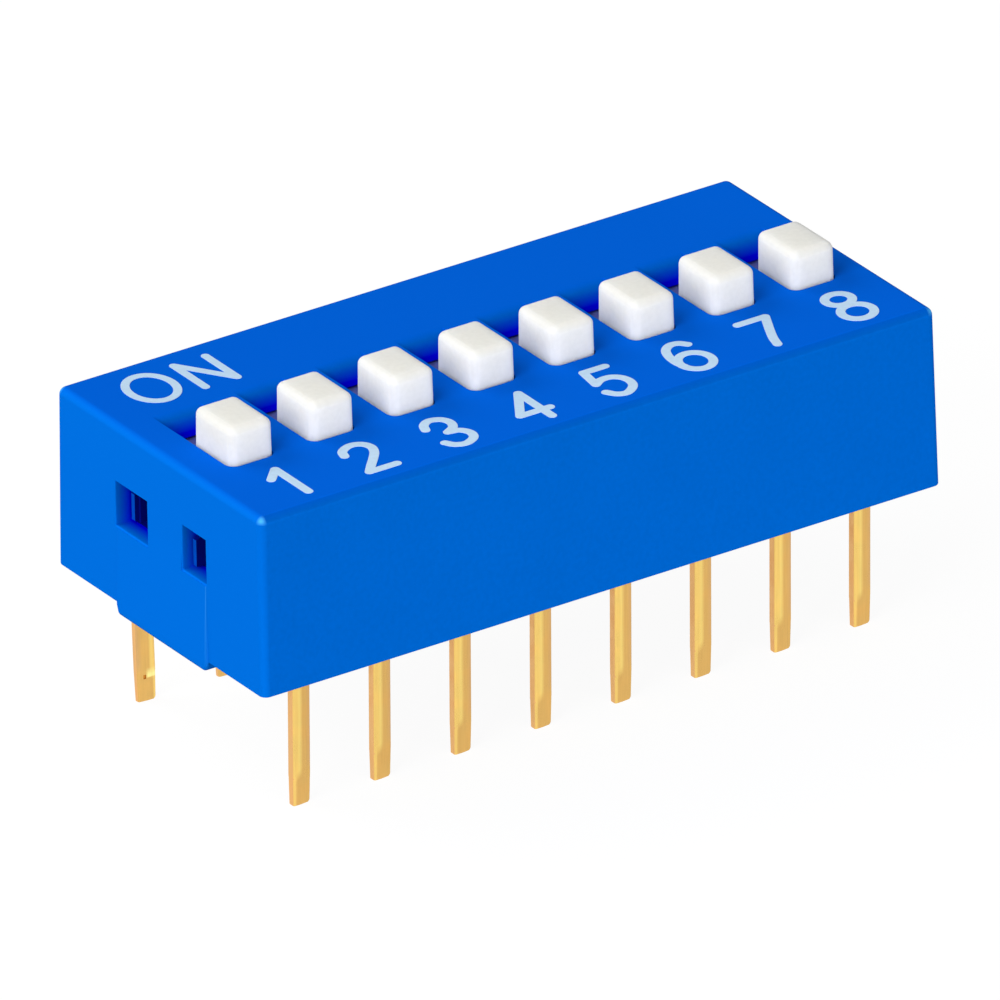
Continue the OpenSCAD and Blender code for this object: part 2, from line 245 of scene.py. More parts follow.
class Finishes(bpy.types.PropertyGroup):
    cover: colour("Cover", "Blue of the cover's long sides", 0, 101, 207)
    # Painted light and shade: the cover's top and ends take their own tones of its blue, for how
    # the light falls on them.
    cover_top: colour("Cover top", "Blue of the cover's top", 0, 98, 219)
    cover_end: colour("Cover ends", "Blue of the cover's ends", 0, 111, 223)
    # Painted highlight: a glint on the cover's top corners and along the tongues' numbered edges.
    painted_glint: colour("Painted glint blue", "Blue painted as a glint on the cover's top corners and the tongues' numbered edges", 70, 172, 244)
    base: colour("Base", "Dark blue of the base", 2, 18, 128)
    # Painted shade: the cover turns to this blue deep in its slots and windows.
    deep: colour("Painted shade blue", "Blue painted as shade deep in the cover's slots and windows", 0, 0, 236)
    # Painted light: the fronts of the base's latch teeth are painted lighter, as if lit.
    worn: colour("Latch face blue", "Blue painted lighter on the fronts of the base's latch teeth, as if lit", 0, 84, 200)
    slider: colour("Sliders", "White of the sliders", 231, 230, 223)
    # Painted shade: the sliders take this dark tone below the top of the slots.
    plate: colour("Slider shade", "Shade painted on the sliders below the top of the slots", 84, 92, 165)
    ink: colour("Ink", "Pale ink of the legend", 191, 219, 243)
    gold: colour("Rolled gold", "Gold on the rolled face of the pins", 241, 203, 114)
    # Painted highlight: a lighter band where the rolled face turns over.
    bright: colour("Highlight gold", "Gold painted lighter as a highlight where the rolled face turns over", 244, 212, 121)
    coined: colour("Coined gold", "Gold where the die has pressed the pins", 220, 176, 100)
    rim: colour("Rim gold", "Gold towards the far edge of a pin", 214, 170, 111)
    edge: colour("Sheared gold", "Gold on the sheared edges of the pins", 232, 180, 114)
    # Painted highlight: a glint on the step where the coining starts.
    step: colour("Step glint", "Gold painted as a glint on the step where the die starts to press", 255, 242, 155)
    # Painted shade: a darker gold in the nick.
    nick: colour("Nick", "Gold painted darker as shade in the nick of the inner face", 190, 128, 50)


class StageSettings(bpy.types.PropertyGroup):
    floor: length("Floor", "Width of the floor", 6000)
    sky: FloatProperty(
        name="Sky", description="Strength of the even light from all round",
        default=0.32, min=0.0,
    )
    key: FloatProperty(
        name="Key", description="Strength of the main lamp, beside the end with the word ON",
        default=0.72, min=0.0,
    )
    fill: FloatProperty(
        name="Fill", description="Strength of the low lamp in front of the numbered side",
        default=0.62, min=0.0,
    )
    back: FloatProperty(
        name="Back", description="Strength of the high lamp behind the switch",
        default=0.5, min=0.0,
    )
    azimuth: FloatProperty(
        name="Azimuth", description="Direction of the camera round the switch",
        default=math.radians(-33.13), subtype="ANGLE", unit="ROTATION",
    )
    elevation: FloatProperty(
        name="Elevation", description="Height of the camera over the horizon",
        default=math.radians(26.51), subtype="ANGLE", unit="ROTATION",
    )
    roll: FloatProperty(
        name="Roll", description="Roll of the camera", default=math.radians(-1.26),
        subtype="ANGLE", unit="ROTATION",
    )
    distance: length("Distance", "Distance of the camera", 900)
    aim_right: length("Aim right", "How far the camera stands to the left of the switch", 0.0132)
    aim_up: length("Aim up", "How far the camera stands above the switch", 0.9285)
    lens: FloatProperty(
        name="Lens", description="Focal length of the camera, in millimetres",
        default=1227.18, min=1.0,
    )


# ---- Modelling by hand, in millimetres ----


def clear_bench():
    """Leaves edit mode and selects nothing."""
    if bpy.context.mode != "OBJECT":
        bpy.ops.object.mode_set(mode="OBJECT")
    bpy.ops.object.select_all(action="DESELECT")


def block(name, low, high):
    """Adds a box between two corners and leaves it as the active piece."""
    clear_bench()
    bpy.ops.mesh.primitive_cube_add(
        size=1,
        location=[(a + b) / 2 for a, b in zip(low, high)],
        scale=[b - a for a, b in zip(low, high)],
    )
    piece = bpy.context.object
    piece.name = piece.data.name = name
    bpy.ops.object.transform_apply(location=True, rotation=False, scale=True)
    return piece


def pick(piece, kind, wanted):
    """Opens a piece and selects those of its faces, edges or vertices that are wanted."""
    if piece.mode != "EDIT":
        bpy.context.view_layer.objects.active = piece
        bpy.ops.object.mode_set(mode="EDIT")
    bpy.ops.mesh.select_mode(type=kind)
    bpy.ops.mesh.select_all(action="DESELECT")
    mesh = bmesh.from_edit_mesh(piece.data)
    found = 0
    for item in {"FACE": mesh.faces, "EDGE": mesh.edges, "VERT": mesh.verts}[kind]:
        if wanted(item):
            item.select_set(True)
            found += 1
    if not found:
        raise RuntimeError(f"{piece.name}: nothing is there to select")
    mesh.select_flush_mode()
    bmesh.update_edit_mesh(piece.data)


def facing(x=0, y=0, z=0):
    """Picks the faces that look the given way."""
    way = Vector((x, y, z))
    return lambda face: face.normal.dot(way) > 0.9


def push(x=0.0, y=0.0, z=0.0):
    """Extrudes the selected faces."""
    bpy.ops.mesh.extrude_region_move(TRANSFORM_OT_translate={"value": (x, y, z)})


def shift(x=0.0, y=0.0, z=0.0):
    """Moves what is selected."""
    bpy.ops.transform.translate(value=(x, y, z))


def spread(centre, x=1.0, y=1.0, z=1.0):
    """Scales what is selected about a point."""
    bpy.ops.transform.resize(value=(x, y, z), center_override=centre)


def soften(width, segments):
    """Rounds the selected edges."""
    bpy.ops.mesh.bevel(
        offset_type="OFFSET", offset=width, segments=segments, profile=0.5,
        affect="EDGES", clamp_overlap=False,
    )


def close_up(piece):
    """Leaves edit mode."""
    if piece.mode == "EDIT":
        bpy.ops.object.mode_set(mode="OBJECT")


def only(piece):
    """Makes a piece the only one selected."""
    clear_bench()
    piece.select_set(True)
    bpy.context.view_layer.objects.active = piece


def combine(piece, other, operation, solver="EXACT"):
    """Joins a second solid to a piece, or cuts it out, and uses the second one up. Solids
    whose faces lie in one plane need the MANIFOLD solver to come out the same each time."""
    only(piece)
    bpy.ops.object.modifier_add(type="BOOLEAN")
    modifier = piece.modifiers[-1]
    modifier.object = other
    modifier.operation = operation
    modifier.solver = solver
    bpy.ops.object.modifier_apply(modifier=modifier.name)
    bpy.data.objects.remove(other)


def join(pieces):
    """Joins separate solids into one piece, under the first one's name."""
    only(pieces[0])
    for piece in pieces[1:]:
        piece.select_set(True)
    bpy.ops.object.join()
    return bpy.context.object


def copy_at(piece, name, x=0.0, y=0.0, turn=0.0):
    """A copy of a piece with its own mesh, turned about the vertical and then moved."""
    twin = piece.copy()
    twin.data = piece.data.copy()
    twin.name = twin.data.name = name
    bpy.context.scene.collection.objects.link(twin)
    twin.data.transform(Matrix.Translation((x, y, 0)) @ Matrix.Rotation(turn, 4, "Z"))
    return twin


def both_ends(piece):
    """A piece and its copy at the other end of the switch, half a turn apart."""
    return join([piece, copy_at(piece, piece.name + "_turned", turn=math.pi)])


def repeat(first, places):
    """Copies of a piece at each place along the switch, joined, in place of the piece."""
    copies = [copy_at(first, f"{first.name}_{k}", x) for k, x in enumerate(places, 1)]
    bpy.data.objects.remove(first)
    return join(copies)


def to_size(piece, smooth=40):
    """Brings a finished piece from millimetres to metres and smooths its rounded edges."""
    only(piece)
    bpy.ops.object.shade_smooth_by_angle(angle=math.radians(smooth))
    bpy.ops.object.modifier_add(type="WEIGHTED_NORMAL")
    modifier = piece.modifiers[-1]
    modifier.keep_sharp = True
    modifier.weight = 100
    bpy.ops.object.modifier_apply(modifier=modifier.name)
    piece.scale = (MM, MM, MM)
    bpy.ops.object.transform_apply(location=False, rotation=False, scale=True)
    return piece


def settings(group):
    """The sizes of a property group, in millimetres."""
    return {name: getattr(group, name) / MM for name in group.__annotations__}


def row_gap():
    """Distance between the centre lines of the two rows of pins, in millimetres."""
    pins = bpy.context.scene.switch_pins
    return -2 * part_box("terminal_1")[0].y / MM - pins.thickness / MM


def row_x(i):
    """Place of a position along the switch, in millimetres."""
    low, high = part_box(f"actuator_{i}")
    return (low.x + high.x) / 2 / MM


# ---- Materials ----


class Recipe:
    """A material in the making: its nodes, and short ways to add and join them."""

    def __init__(self, name, base, roughness, metallic=0.0, specular=0.5):
        self.material = bpy.data.materials.new(name)
        self.material.use_nodes = True
        self.material.diffuse_color = (*base, 1)
        self.nodes = self.material.node_tree.nodes
        self.links = self.material.node_tree.links
        self.shader = self.nodes["Principled BSDF"]
        self.shader.inputs["Base Color"].default_value = (*base, 1)
        self.shader.inputs["Roughness"].default_value = roughness
        self.shader.inputs["Metallic"].default_value = metallic
        self.shader.inputs["Specular IOR Level"].default_value = specular
        self.place = self.nodes.new("ShaderNodeTexCoord").outputs["Object"]

    def stretched(self, x, y, z):
        """Object coordinates stretched along each axis."""
        mapping = self.nodes.new("ShaderNodeMapping")
        mapping.inputs["Scale"].default_value = (x, y, z)
        self.links.new(self.place, mapping.inputs["Vector"])
        return mapping.outputs["Vector"]

    def noise(self, grain, detail=3.0, place=None):
        """Cloudy noise whose grains are about as wide as given, in millimetres."""
        noise = self.nodes.new("ShaderNodeTexNoise")
        noise.inputs["Scale"].default_value = 1 / (grain * MM)
        noise.inputs["Detail"].default_value = detail
        self.links.new(place or self.place, noise.inputs["Vector"])
        return noise.outputs["Fac"]

    def span(self, value, low, high, start=0.3, end=0.7):
        """Spreads a value between two bounds."""
        node = self.nodes.new("ShaderNodeMapRange")
        for socket, number in zip(
            ("From Min", "From Max", "To Min", "To Max"), (start, end, low, high)
        ):
            node.inputs[socket].default_value = number
        self.links.new(value, node.inputs["Value"])
        return node.outputs["Result"]

    def blend(self, value, first, second):
        """Mixes two colours."""
        node = self.nodes.new("ShaderNodeMix")
        node.data_type = "RGBA"
        for socket, value_or_link in ((6, first), (7, second)):
            if isinstance(value_or_link, bpy.types.NodeSocket):
                self.links.new(value_or_link, node.inputs[socket])
            else:
                node.inputs[socket].default_value = (*value_or_link, 1)
        self.links.new(value, node.inputs[0])
        return node.outputs[2]

    def reckon(self, operation, first, second):
        """A sum, a product or the like of two values, either of them plain or linked."""
        node = self.nodes.new("ShaderNodeMath")
        node.operation = operation
        for socket, value in zip(node.inputs, (first, second)):
            if isinstance(value, bpy.types.NodeSocket):
                self.links.new(value, socket)
            else:
                socket.default_value = value
        return node.outputs[0]

    def tinted(self, tone, factors):
        """A colour times another colour or a number, either of them plain or linked."""
        node = self.nodes.new("ShaderNodeVectorMath")
        node.operation = "MULTIPLY"
        for socket, value in zip(node.inputs, (tone, factors)):
            if isinstance(value, bpy.types.NodeSocket):
                self.links.new(value, socket)
            else:
                socket.default_value = value
        return node.outputs[0]

    def ramp(self, value, stops):
        """A colour that runs through stops, each a place between 0 and 1 and a colour."""
        node = self.nodes.new("ShaderNodeValToRGB")
        elements = node.color_ramp.elements
        elements.remove(elements[1])
        elements[0].position, elements[0].color = stops[0][0], (*stops[0][1], 1)
        for place, tone in stops[1:]:
            elements.new(place).color = (*tone, 1)
        self.links.new(value, node.inputs["Fac"])
        return node.outputs["Color"]

    def along(self, axis):
        """Place along one axis of the switch."""
        node = self.nodes.new("ShaderNodeSeparateXYZ")
        self.links.new(self.place, node.inputs[0])
        return node.outputs[axis]

    def kept(self, name):
        """A number that the mesh keeps at each of its points."""
        node = self.nodes.new("ShaderNodeAttribute")
        node.attribute_name = name
        return node.outputs["Fac"]

    def paint(self, colour_socket):
        self.links.new(colour_socket, self.shader.inputs["Base Color"])

    def painted(self):
        """The colour painted last."""
        return self.shader.inputs["Base Color"].links[0].from_socket

    def roughen(self, value):
        self.links.new(value, self.shader.inputs["Roughness"])

    def emboss(self, *layers):
        """Adds relief: each layer is a height and its depth in millimetres."""
        normal = None
        for height, depth in layers:
            bump = self.nodes.new("ShaderNodeBump")
            bump.inputs["Distance"].default_value = depth * MM
            self.links.new(height, bump.inputs["Height"])
            if normal:
                self.links.new(normal, bump.inputs["Normal"])
            normal = bump.outputs["Normal"]
        self.links.new(normal, self.shader.inputs["Normal"])


def shade(base, factor):
    """A colour made lighter or darker."""
    return [min(1.0, value * factor) for value in base]


def moulded_plastic(name, base, roughness, specular, depth, cloud):
    """Satin thermoplastic with a spark-eroded grain and faint flow clouds."""
    recipe = Recipe(name, base, roughness, specular=specular)
    clouds = recipe.noise(2.4, 2.0)
    mottle = recipe.noise(0.14, 2.0)
    grain = recipe.noise(0.09, 4.0)
    speckle = recipe.noise(0.035, 2.0)
    body = recipe.blend(
        recipe.span(clouds, 0, 1), shade(base, 1 - cloud), shade(base, 1 + cloud)
    )
    body = recipe.tinted(body, recipe.span(mottle, 1 - 2 * cloud, 1 + 2 * cloud))
    recipe.paint(recipe.blend(recipe.span(speckle, 0, 0.3), body, shade(base, 1 - 2 * cloud)))
    recipe.roughen(recipe.span(grain, roughness - 0.05, roughness + 0.07))
    recipe.emboss((grain, depth), (speckle, depth / 3))
    return recipe


def plated_metal(name, base, roughness, streak, pattern=None):
    """Thin gold plating over stamped strip, with drawn streaks along the pin."""
    recipe = Recipe(name, base, roughness, metallic=1.0)
    streaks = recipe.noise(0.05, 3.0, recipe.stretched(1, 1, 0.04))
    patches = recipe.noise(0.5, 3.0)
    body = recipe.tinted(pattern(recipe) if pattern else base,
                         recipe.span(streaks, 1 - streak, 1 + streak))
    # Random patches where the plating is worn.
    worn = recipe.tinted(body, (0.97, 0.86, 0.78))
    recipe.paint(recipe.blend(recipe.span(patches, 0, 0.35, 0.45, 0.75), body, worn))
    recipe.roughen(recipe.span(patches, roughness - 0.05, roughness + 0.1))
    recipe.emboss((streaks, 0.004), (patches, 0.006))
    return recipe


def stamped_face(recipe, bright, tip, glint):
    """Gold of a pin's flat face: a bright rolled strip of the given width along one edge with a
    painted highlight where it turns over, a pressed strip beside it, a coined tip that starts on
    a slant and, if glint is asked for, a painted glint on the step where the coining starts."""
    colours, pins = bpy.context.scene.switch_finishes, bpy.context.scene.switch_pins
    across, height = recipe.kept("across"), recipe.along("Z")
    corner = -pins.width / 2
    share = bright / pins.width
    # The lighter band where the rolled face turns over is a painted highlight.
    tone = recipe.ramp(recipe.span(across, 0, 1, corner, -corner), (
        (0.0, colours.gold), (share * 0.55, colours.gold), (share * 0.85, colours.bright),
        (share + 0.12, colours.coined), (0.7, colours.coined), (0.97, colours.rim),
    ))
    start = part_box("terminal_1")[0].z + tip
    slant = recipe.reckon("MULTIPLY", recipe.reckon("SUBTRACT", across, corner + 0.06 * MM), 0.6)
    lead = recipe.reckon("SUBTRACT", height, slant)
    pressed = recipe.reckon(
        "MULTIPLY",
        recipe.span(lead, 1, 0, start - 0.16 * MM, start + 0.12 * MM),
        recipe.span(across, 0, 1, corner + 0.07 * MM, corner + 0.11 * MM),
    )
    tone = recipe.blend(pressed, tone, colours.coined)
    # Painted highlight: a glint on the step where the coining starts.
    if glint:
        spot = recipe.reckon(
            "MULTIPLY",
            recipe.span(height, 0, 1, start - 0.03 * MM, start + 0.01 * MM),
            recipe.span(height, 1, 0, start + 0.08 * MM, start + 0.28 * MM),
        )
        spot = recipe.reckon("MULTIPLY", spot, recipe.span(
            across, 1, 0, corner + 0.24 * MM, corner + 0.32 * MM))
        tone = recipe.blend(spot, tone, colours.step)
    return tone


def printed_ink(name, base):
    """Flat printed ink, a little uneven in cover."""
    recipe = Recipe(name, base, 0.55, specular=0.25)
    cover = recipe.noise(0.12, 3.0)
    recipe.paint(recipe.blend(recipe.span(cover, 0, 1), shade(base, 0.96), shade(base, 1.04)))
    recipe.roughen(recipe.span(cover, 0.48, 0.62))
    recipe.emboss((cover, 0.003))
    return recipe


def shell_tone(recipe, colours):
    """Blue of the cover, with painted light and shade: its top and ends tinted for the light on
    them, painted shade on its long top edges, a painted glint on its top corners and tongues, and
    painted shade deep in it.
    """
    tone = recipe.painted()
    # Painted light and shade: the top and the ends are blended to their own tones of the blue.
    tone = recipe.blend(recipe.kept("top"), tone, colours.cover_top)
    tone = recipe.blend(recipe.kept("end"), tone, colours.cover_end)
    # Painted shade: the long top edges are painted darker.
    tone = recipe.tinted(tone, recipe.span(recipe.kept("edge"), 1, 0.8))
    # Painted highlight: a glint on the top corners and the tongues' numbered edges.
    tone = recipe.blend(recipe.kept("painted_glint"), tone, colours.painted_glint)
    # Painted shade: darker, then deep blue, the deeper a point lies in a slot or a window.
    recess = recipe.kept("recess")
    tone = recipe.tinted(tone, recipe.span(recess, 1, 0.9, 0, 0.2))
    return recipe.blend(recipe.span(recess, 0, 1, 0.18, 0.8), tone, colours.deep)


def gold_face(name, gold, rolled, tip, glint):
    """Gold plating on one of the two flat faces of the pins."""
    return plated_metal(name, gold, 0.3, 0.04,
                        lambda recipe: stamped_face(recipe, rolled, tip, glint))


MADE = {}


def finish_named(name):
    """The material of that name, made once."""
    if name not in MADE:
        colours, pins = bpy.context.scene.switch_finishes, bpy.context.scene.switch_pins
        if name == "cover_plastic":
            recipe = moulded_plastic(name, colours.cover, 0.4, 0.0, 0.004, 0.02)
            recipe.paint(shell_tone(recipe, colours))
            recipe.shader.inputs["Metallic"].default_value = 0.03
        elif name == "base_plastic":
            recipe = moulded_plastic(name, colours.base, 0.5, 0.0, 0.006, 0.03)
            recipe.shader.inputs["Metallic"].default_value = 0.1
        # Painted light: the latch teeth's fronts take a lighter blue.
        elif name == "latch_face":
            recipe = moulded_plastic(name, colours.worn, 0.5, 0.0, 0.006, 0.03)
        elif name == "slider_plastic":
            recipe = moulded_plastic(name, colours.slider, 0.45, 0.08, 0.003, 0.012)
            top = bpy.context.scene.switch_cover.top
            # Painted shade: below the top of the slots the sliders turn to a dark blue tone.
            depth = recipe.span(recipe.along("Z"), 0, 1, top - 0.5 * MM, top - 0.25 * MM)
            # Painted shade: the knobs' rounded top edges are painted a little darker.
            tone = recipe.tinted(recipe.painted(), recipe.span(recipe.kept("edge"), 1, 0.94))
            recipe.paint(recipe.blend(depth, colours.plate, tone))
            recipe.shader.inputs["Subsurface Weight"].default_value = 1.0
            recipe.shader.inputs["Subsurface Radius"].default_value = (1.0, 0.95, 0.9)
            recipe.shader.inputs["Subsurface Scale"].default_value = 0.8 * MM
        elif name == "legend_ink":
            recipe = printed_ink(name, colours.ink)
        elif name == "gold_outer_face":
            recipe = gold_face(name, colours.gold, pins.rolled, pins.tip, False)
        elif name == "gold_inner_face":
            recipe = gold_face(name, colours.gold, pins.rolled_inside, pins.tip_inside, True)
        elif name == "gold_sheared":
            recipe = plated_metal(name, colours.edge, 0.42, 0.05)
        elif name == "gold_nick":
            recipe = plated_metal(name, colours.nick, 0.5, 0.05)
        elif name == "contact_spring":
            recipe = plated_metal(name, colours.gold, 0.28, 0.03)
        else:
            raise RuntimeError(f"no finish is named {name}")
        MADE[name] = recipe.material
    return MADE[name]


def coat(piece, *finishes):
    """Gives a piece its finishes, in place of any that it has."""
    piece.data.materials.clear()
    for name in finishes:
        piece.data.materials.append(finish_named(name))


# ---- The pieces ----


def turned(point, flat, radius):
    """How far a point lies over each pair of rounded edges of a box about the origin: 0 on
    the flat, 1 on the face, from where the flat ends along X, Y and Z."""
    return (min(1, max(0, (abs(at) - end) / radius)) for at, end in zip(point, flat))


def keep(piece, name, values):
    """Keeps one number at each point of the piece, for its finish to read."""
    piece.data.attributes.new(name, "FLOAT", "POINT").data.foreach_set("value", values)


class SWITCH_OT_cover(bpy.types.Operator):
    """Moulds the cover with its slots, ramps, tongues and latch windows"""

    bl_idname = "slide_switch.cover"
    bl_label = "Cover"

    def shell(self, s):
        """The outer form, from the foot up, with leaning walls and rounded edges."""
        x, y = s["length"] / 2, s["width"] / 2
        cover = block("cover_shell", (-x, -y, s["foot"]), (x, y, s["top"]))
        pick(cover, "FACE", facing(z=1))
        spread((0, 0, s["top"]), 1 - s["lean"] / x, 1 - s["lean"] / y)
        pick(cover, "EDGE", lambda e: max(v.co.z for v in e.verts) > s["foot"] + 0.1)
        soften(s["edge"], 7)
        pick(cover, "EDGE", lambda e: all(v.co.z < s["foot"] + 0.001 for v in e.verts))
        soften(s["rim"], 2)
        close_up(cover)
        return cover

    def tongues(self, s):
        """The tongue in each end wall: its face leans out of the wall down to the foot."""
        half = s["tongue_width"] / 2
        lean = s["lean"] / (s["top"] - s["foot"])
        flush = s["length"] / 2 - lean * (s["tongue_top"] - s["foot"]) - 0.002
        outer = s["length"] / 2 + s["tongue_proud"]
        tongue = block("tongue", (-flush, -half, s["foot"]),
                       (-s["length"] / 2 + s["wall"] + 0.1, half, s["tongue_top"]))
        pick(tongue, "VERT", lambda v: v.co.x < -flush + 0.01 and v.co.z < s["foot"] + 0.01)
        shift(x=flush - outer)
        pick(tongue, "FACE", facing(z=-1))
        push(z=s["tongue_lift"] - s["foot"])
        spread((0, 0, s["tongue_lift"]), y=1 - s["tongue_slope"] / half)
        pick(tongue, "EDGE", lambda e: all(v.co.x < -flush + 0.001 for v in e.verts)
             and max(v.co.z for v in e.verts) - min(v.co.z for v in e.verts) > 0.1
             or all(v.co.z < s["tongue_lift"] + 0.001 for v in e.verts))
        soften(s["tongue_edge"], 4)
        close_up(tongue)
        tongue.data.transform(Matrix.Translation((0, -s["tongue_off"], 0)))
        return both_ends(tongue)

    def slot_tool(self, s):
        """What one slot takes out of the roof: the slot, and a ramp that rolls over."""
        x = s["slot_width"] / 2
        ceiling = s["top"] - s["roof"]
        over = s["top"] + 0.002
        back = s["slot_back"] + s["ramp"]
        tool = block("slot_tool", (-x, -s["slot_front"], ceiling - 0.2),
                     (x, s["slot_back"], ceiling))
        pick(tool, "FACE", facing(z=1))
        push(z=over - ceiling)
        pick(tool, "EDGE", lambda e: all(
            v.co.z > over - 0.001 and v.co.y > s["slot_back"] - 0.001 for v in e.verts))
        shift(y=s["ramp"])
        pick(tool, "FACE", facing(z=1))
        push(z=0.6)
        pick(tool, "FACE", lambda f: f.normal.y > 0.9 and f.calc_center_median().z > over)
        push(y=1)
        pick(tool, "EDGE", lambda e: all(
            abs(v.co.z - over) < 0.001 and abs(v.co.y - back) < 0.001 for v in e.verts))
        soften(s["ramp_roll"], 8)
        pick(tool, "EDGE", lambda e: all(v.co.y < 0.001 - s["slot_front"] for v in e.verts)
             and abs(e.verts[0].co.z - e.verts[1].co.z) > 0.1)
        soften(s["slot_corner"], 5)
        close_up(tool)
        return tool

    def window_tool(self, s, name, inner, outer):
        """What one latch window takes out of an end wall, with a rounded mouth."""
        wall, mouth = -s["length"] / 2 + s["lean"] / 2, s["mouth"]
        middle = (wall, (inner + outer) / 2, (s["window_low"] + s["window_high"]) / 2)
        tool = block(name, (wall + mouth, inner, s["window_low"]),
                     (wall + s["wall"] + 0.3, outer, s["window_high"]))
        pick(tool, "FACE", facing(x=-1))
        wide, high = outer - inner, s["window_high"] - s["window_low"]
        grown = 0
        steps = 5
        for k in range(1, steps + 1):
            turn = math.pi / 2 * k / steps
            push(x=-mouth * (math.sin(turn) - math.sin(turn - math.pi / 2 / steps)))
            more = mouth * (1 - math.cos(turn))
            spread(middle, y=(wide + 2 * more) / (wide + 2 * grown),
                   z=(high + 2 * more) / (high + 2 * grown))
            grown = more
        push(x=-0.5)
        close_up(tool)
        return tool

    def window_tools(self, s):
        """What the two latch windows take out of each end wall."""
        return both_ends(join([
            self.window_tool(s, "window", s["wide_inner"], s["wide_outer"]),
            self.window_tool(s, "window_2", -s["narrow_outer"], -s["narrow_inner"]),
        ]))

    def ribs(self, s):
        """The ribs that hang from the ceiling between the sliders."""
        y = s["width"] / 2 - s["wall"] + 0.05
        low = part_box("base")[1].z / MM
        rib = block("rib", (-s["rib"] / 2, -y, low),
                    (s["rib"] / 2, y, s["top"] - s["roof"] + 0.05))
        return repeat(rib, [(row_x(i) + row_x(i + 1)) / 2 for i in range(1, COUNT)])

    def recess(self, s, point):
        """How deep a point lies in a slot or in a window, from 0 to 1."""
        depth = 0
        if point.z > s["top"] - s["roof"] - 0.01:
            if (abs(point.x) < row_x(COUNT) + s["slot_width"] / 2 + 0.01
                    and abs(point.y) < s["slot_front"] + 0.01):
                depth = (s["top"] - point.z) / s["roof"]
        elif s["window_low"] - 0.01 < point.z < s["window_high"] + 0.01:
            depth = (s["length"] / 2 - s["mouth"] - abs(point.x)) / s["wall"]
        return min(1, max(0, depth))

    def painted_glint(self, s, point):
        """How much painted glint a point on the numbered edge of a tongue takes, from 0 to 1."""
        edge = s["tongue_width"] / 2 + s["tongue_off"]
        outside = s["length"] / 2 - s["lean"] * (point.z - s["foot"]) / (s["top"] - s["foot"])
        if not -edge - 0.01 < point.y < s["tongue_edge"] * 0.8 - edge:
            return 0
        if not outside + 0.004 < abs(point.x) < s["length"] / 2 + s["tongue_proud"] - 0.004:
            return 0
        return 0.06 + 0.3 * max(0, point.z - s["foot"]) / s["tongue_top"]

    def keep_places(self, cover, s):
        """Keeps what the finish needs to paint light and shade at each point: how far it turns to
        the top, to an end and over a long top edge, how much glint it takes, and how deep it lies."""
        flat = (s["length"] / 2 - s["lean"] - s["edge"], s["width"] / 2 - s["lean"] - s["edge"],
                s["top"] - s["edge"])
        points = [v.co for v in cover.data.vertices]
        turns = [tuple(turned(point, flat, s["edge"])) for point in points]
        keep(cover, "top", [top ** 2 for end, side, top in turns])
        keep(cover, "end", [end ** 2 for end, side, top in turns])
        keep(cover, "edge", [2 * side * top for end, side, top in turns])
        keep(cover, "painted_glint", [max(9 * (end * side * top) ** (4 / 3), self.painted_glint(s, point))
                               for (end, side, top), point in zip(turns, points)])
        keep(cover, "recess", [self.recess(s, point) for point in points])

    def execute(self, context):
        s = settings(context.scene.switch_cover)
        cover = self.shell(s)
        combine(cover, self.tongues(s), "UNION")
        x, y = s["length"] / 2 - s["wall"], s["width"] / 2 - s["wall"]
        combine(cover, block("hollow", (-x, -y, -1), (x, y, s["top"] - s["roof"])), "DIFFERENCE")
        combine(cover, self.ribs(s), "UNION")
        combine(cover, repeat(self.slot_tool(s), map(row_x, POSITIONS)), "DIFFERENCE")
        combine(cover, self.window_tools(s), "DIFFERENCE")
        self.keep_places(cover, s)
        to_size(cover, 35)
        coat(cover, "cover_plastic")
        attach(cover, HOUSING)
        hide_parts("cover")
        return {"FINISHED"}


